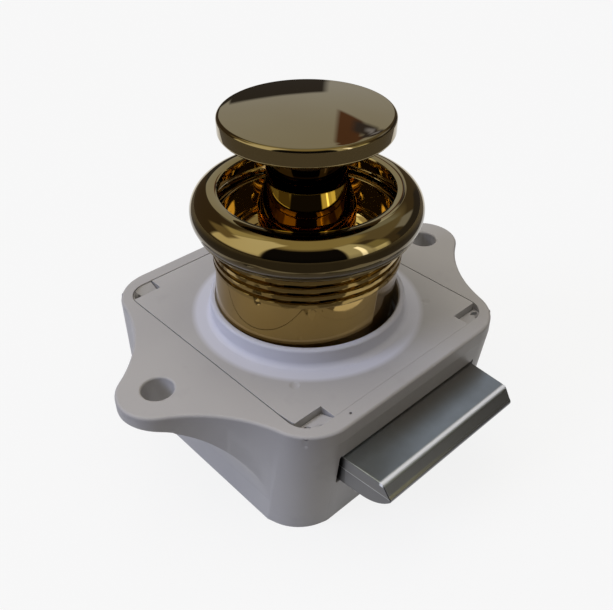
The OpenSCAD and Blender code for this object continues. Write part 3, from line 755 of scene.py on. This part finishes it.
rosette = {
    "bright": (0.360, 0.280, 0.125, 1), "warm": (0.290, 0.205, 0.070, 1), "paintedDarkReflection": (0.085, 0.062, 0.028, 1),
    "dark": (0.120, 0.090, 0.040, 1), "paintedShadeZone": (13.0, 14.8, 12.4),
    "inner": (0.50, 0.38, 0.18, 1), "innerZone": (12.6, 17.4),
    "paintedDarkReflectionBelow": 0.46, "paintedDarkReflectionSoft": 0.25, "paintedDarkReflectionFrom": 12.4, "polish": 0.02, "haze": 0.12, "ripple": 0.08,
    "low": 13.2, "bandRadius": 13.8, "bandHeight": 1.4,
    "bulgeRadius": 14.35, "roundness": 2.7, "mouthRadius": 10.8, "top": 18.0,
    "boreRadius": 12.05, "threadTop": 15.2, "shoulder": 17.0, "pitch": 1.08, "depth": 0.45,
    "footRounds": (0.12, 0.3), "stepIn": 0.05, "stepHeight": 0.25, "lipDrop": 0.32, "lipRound": 0.15,
}


def makeRosette(s):
    r = s["roundness"]
    centre = (s["bulgeRadius"] - r, s["top"] - r)
    neck = s["bandRadius"] - s["stepIn"]
    start = -math.degrees(math.acos((neck - centre[0]) / r))
    lip = 180 - math.degrees(math.acos((centre[0] - s["mouthRadius"]) / r))
    path = [(s["boreRadius"], s["low"], s["footRounds"][0]), (s["bandRadius"], s["low"], s["footRounds"][1]),
            (s["bandRadius"], s["low"] + s["bandHeight"] - s["stepHeight"], 0.1),
            (neck, centre[1] + r * math.sin(math.radians(start)), 0)]
    path += arcOf(centre, r, start + 4, lip - 2, 48)
    path += [(s["mouthRadius"], s["top"] - s["lipDrop"], s["lipRound"]),
             (s["mouthRadius"], s["shoulder"], s["lipRound"])]
    rings = levels(s["low"] + 0.15, s["shoulder"], s["pitch"] / 14)
    path += [(s["boreRadius"], z, 0) for z in reversed(rings)]
    obj = lathe("rosetteRing", filleted(path, 5, closed=True), closed=True)
    cutThread(obj, screwThread, s["boreRadius"], -1.0, s, s["low"], s["threadTop"], rosetteBrass)
    smooth(obj, 40)
    return obj


rosetteBrass = polishedBrass("polished brass rosette", rosette)
rosetteRing = makeRosette(rosette)
dress(rosetteRing, rosetteBrass, "rosette", ["rosette"])
print("rosette made:", len(rosetteRing.data.polygons), "faces")


# knob

knob = {
    "bright": (0.315, 0.243, 0.112, 1), "warm": (0.290, 0.215, 0.090, 1), "paintedDarkReflection": (0.280, 0.215, 0.100, 1),
    "dark": (0.050, 0.030, 0.012, 1), "paintedShadeZone": (19.2, 25.1, 0.0),
    "inner": (0.60, 0.38, 0.11, 1), "innerZone": (6.4, 19.4),
    "amber": (0.46, 0.28, 0.035, 1), "glintBright": (0.86, 0.62, 0.09, 1), "paintedGlintZone": (14.8, 19.4, 6.3),
    "paintedDarkReflectionBelow": 0.40, "paintedDarkReflectionSoft": 0.25, "paintedDarkReflectionFrom": 9.6, "polish": 0.01, "haze": 0.08, "ripple": 0.05,
    "discRadius": 10.32, "discLow": 24.95, "discThick": 2.3, "crown": 0.35, "edge": 0.5,
    "crownSteps": 24, "headRound": 1.0, "neckRound": 0.4, "footRounds": (0.2, 0.1),
    "neckRadius": 4.9, "stepHeight": 19.2, "stepFoot": 15.6, "stepSoft": 0.8, "stemRadius": 6.1,
    "stemLow": 1.2,
    "spigotBore": 3.05, "spigotTop": 5.1, "screwBore": 1.55, "screwTop": 9.7,
    "ringRadius": 5.3, "ringLow": 2.4, "ringHigh": 3.3,
}


def makeKnob(s):
    rim = s["discLow"] + s["discThick"]
    flat = s["discRadius"] - s["edge"]
    steps = s["crownSteps"]
    crown = [(flat * k / steps, rim + s["crown"] * (1 - (k / steps) ** 2), 0) for k in range(steps)]
    path = crown + [(s["discRadius"], rim, s["edge"]), (s["discRadius"], s["discLow"], s["edge"]),
                    (s["neckRadius"], s["discLow"], s["headRound"]),
                    (s["neckRadius"], s["stepHeight"], s["neckRound"]),
                    (s["stemRadius"], s["stepFoot"], s["stepSoft"]),
                    (s["stemRadius"], s["ringHigh"], 0), (s["ringRadius"], s["ringHigh"], 0),
                    (s["ringRadius"], s["ringLow"], 0), (s["stemRadius"], s["ringLow"], 0),
                    (s["stemRadius"], s["stemLow"], s["footRounds"][0]),
                    (s["spigotBore"], s["stemLow"], s["footRounds"][1]),
                    (s["spigotBore"], s["spigotTop"], 0), (s["screwBore"], s["spigotTop"], 0),
                    (s["screwBore"], s["screwTop"], 0), (0, s["screwTop"], 0)]
    obj = lathe("knobTurned", filleted(path, 8))
    smooth(obj, 36)
    return obj


knobBrass = polishedBrass("polished brass knob", knob)
knobTurned = makeKnob(knob)
dress(knobTurned, knobBrass, "knob", ["knob"])
print("knob made:", len(knobTurned.data.polygons), "faces")


# the inner parts keep their CAD meshes and get a finish

inner = {
    # tone, roughness and the stretch of the drawing marks
    "spring": ((0.50, 0.50, 0.51, 1), 0.25, (1, 1, 0.2)),
    "plated": ((0.66, 0.66, 0.67, 1), 0.2, (0.2, 1, 1)),
    "stamped": ((0.58, 0.59, 0.60, 1), 0.3, (1, 0.25, 1)),
    "drawnScale": 700, "spotScale": 1600, "fineScale": 1200, "grain": 0.00001,
    "acetalLight": (0.045, 0.045, 0.05, 1), "acetalDark": (0.025, 0.025, 0.028, 1), "acetalRough": 0.32,
}


def steel(name, tone, rough, along):
    f = Finish(name, Metallic=1.0)
    drawn = f.noise(inner["drawnScale"], 4, 0.6, f.stretched(along))
    spots = f.noise(inner["spotScale"], 2)
    f.colour(f.mixed(drawn, tone, tint(tone, 0.7)))
    f.roughness((rough + drawn * 0.15).clamped())
    f.bump(drawn * 0.8 + spots * 0.2, inner["grain"], 0.4)
    return f


def darkAcetal(name, light, dark):
    f = Finish(name)
    fine = f.noise(inner["fineScale"], 3)
    f.colour(f.mixed(fine, dark, light))
    f.roughness(inner["acetalRough"] + fine * 0.12)
    f.bump(fine, inner["grain"], 0.3)
    return f


springSteel = steel("spring steel", *inner["spring"])
screwSteel = steel("plated steel", *inner["plated"])
plateSteel = steel("stamped steel", *inner["stamped"])
acetal = darkAcetal("dark acetal", inner["acetalLight"], inner["acetalDark"])
nodeFinish = {
    "retainer_plate": plateSteel, "cam_plate": plateSteel,
    "barrel_clip": springSteel, "stop_ring": springSteel, "blocker": springSteel, "follower": springSteel,
    "knob_spring": springSteel, "bolt_spring_left": springSteel, "bolt_spring_right": springSteel,
    "plunger": acetal, "plunger_screw": screwSteel, "follower_pin": screwSteel,
    "guide_rod_left": screwSteel, "guide_rod_right": screwSteel,
}
for name, finish in nodeFinish.items():
    dress(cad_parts[name], finish)
print("inner parts dressed")


# a white sheet that reaches just past the picture's edges, on a grey table

def makeFloor(s):
    table = Finish("sheet on a table", Roughness=0.9)
    x, y = table.axes()[:2]
    toward = direction(0, 0, s["facing"])
    right = direction(90, 0, s["facing"])
    near = x * toward.x + y * toward.y
    aside = (x * right.x + y * right.y).size()
    sheet = aside.below(s["sheetHalf"] - near * s["sheetWidens"]) * near.below(s["sheetNear"])
    cloud = table.noise(6, 2)
    paper = table.mixed(cloud * 0.1, s["sheetColour"], tint(s["sheetColour"], 0.97))
    table.colour(table.mixed(sheet, s["tableColour"], paper))
    # seen by the camera or in metal the sheet is nearly white, and it still keeps the shadow
    rays = table.tree.nodes.new("ShaderNodeLightPath").outputs
    seen = Wire(table.tree, rays["Is Camera Ray"]) + Wire(table.tree, rays["Is Glossy Ray"])
    seen = (seen + Wire(table.tree, rays["Is Transmission Ray"])).clamped() * sheet * s["sheetWhite"]
    white = table.node("ShaderNodeEmission", None, {"Color": (1, 1, 1, 1), "Strength": 1.0})
    plain = Wire(table.tree, table.shader.outputs[0])
    mix = table.node("ShaderNodeMixShader", None, {0: seen, 1: plain, 2: white})
    plug(table.tree, mix, table.tree.nodes["Material Output"].inputs["Surface"])
    half = s["tableHalf"] * mm
    corners = [(a * half, b * half, cadLow.z) for a, b in ((-1, -1), (1, -1), (1, 1), (-1, 1))]
    floor = newObject("floor", corners, [(0, 1, 2, 3)])
    dress(floor, table)


def makeRoom(s):
    world = bpy.data.worlds.new("studio room")
    bpy.context.scene.world = world
    world.use_nodes = True
    room = Board(world.node_tree)
    look = room.node("ShaderNodeTexCoord", out=0)

    def along(way):
        return room.node("ShaderNodeVectorMath", {"operation": "DOT_PRODUCT"}, {0: look, 1: way}, out=1)

    ahead = along(direction(0, 0, s["facing"]))
    aside = along(direction(90, 0, s["facing"]))
    degrees = 180 / math.pi
    rise = aside.maths("ARCSINE", along((0, 0, 1))) * degrees
    turns = {"front": aside.maths("ARCTAN2", aside, ahead) * degrees,
             "back": aside.maths("ARCTAN2", 0.0 - aside, 0.0 - ahead) * degrees}

    def upTo(turnsAt, lower, upper):
        start, over = turnsAt
        return room.mixed(((rise - start) / over).clamped(), lower, upper)

    soft = upTo(s["wallEnd"], s["wall"], s["ceiling"])
    sharp = upTo(s["duskEnd"], s["dusk"], s["overhead"])
    for side, left, right, low, high, edge, tilt, tone in s["panels"]:
        slanted = rise - turns[side] * tilt if tilt else rise
        mask = turns[side].within(left, right, edge) * slanted.within(low, high, edge)
        sharp = room.mixed(mask, sharp, tone)
    room.node("ShaderNodeLightPath")
    polished = Wire(room.tree, room.last.outputs["Is Glossy Ray"])
    colour = room.mixed(polished, soft, sharp)
    plug(room.tree, colour, room.tree.nodes["Background"].inputs["Color"])
    for name, azimuth, elevation, width, level, tone in s["suns"]:
        data = bpy.data.lights.new(name, "SUN")
        data.angle = math.radians(width)
        data.energy = level * math.pi
        data.color = tone
        lamp = bpy.data.objects.new(name, data)
        bpy.context.scene.collection.objects.link(lamp)
        way = direction(azimuth, elevation, s["facing"])
        lamp.location = way * s["lampDistance"] * mm
        lamp.visible_glossy = False
        lamp.rotation_euler = (-way).to_track_quat("-Z", "Y").to_euler()


def makeCamera(s):
    az, el, roll = (math.radians(s[k]) for k in ("azimuth", "elevation", "roll"))
    back = Vector((math.sin(az) * math.cos(el), -math.cos(az) * math.cos(el), math.sin(el)))
    right = Vector((math.cos(az), math.sin(az), 0))
    up = back.cross(right)
    turnedRight = right * math.cos(roll) + up * math.sin(roll)
    turnedUp = up * math.cos(roll) - right * math.sin(roll)
    data = bpy.data.cameras.new("camera")
    data.sensor_width = s["sensorWidth"]
    data.lens = s["focalPixels"] / s["pictureWidth"] * s["sensorWidth"]
    data.clip_start = s["clipStart"]
    camera = bpy.data.objects.new("camera", data)
    bpy.context.scene.collection.objects.link(camera)
    place = back * s["distance"] + turnedRight * s["aside"] + turnedUp * s["raise"]
    camera.matrix_world = Matrix((
        (turnedRight.x, turnedUp.x, back.x, place.x),
        (turnedRight.y, turnedUp.y, back.y, place.y),
        (turnedRight.z, turnedUp.z, back.z, place.z),
        (0, 0, 0, 1)))
    bpy.context.scene.camera = camera


view = {
    # degrees, then metres from the origin, along the view and in the picture's plane
    "azimuth": 47.12, "elevation": 36.92, "roll": -0.32, "distance": 0.10077,
    "aside": -0.00013, "raise": -0.00015, "clipStart": 0.005,
    "focalPixels": 747.74, "pictureWidth": 613, "sensorWidth": 36,
}

makeFloor(studio)
makeRoom(studio)
makeCamera(view)
bpy.context.scene.view_settings.view_transform = "Standard"
print("studio ready")
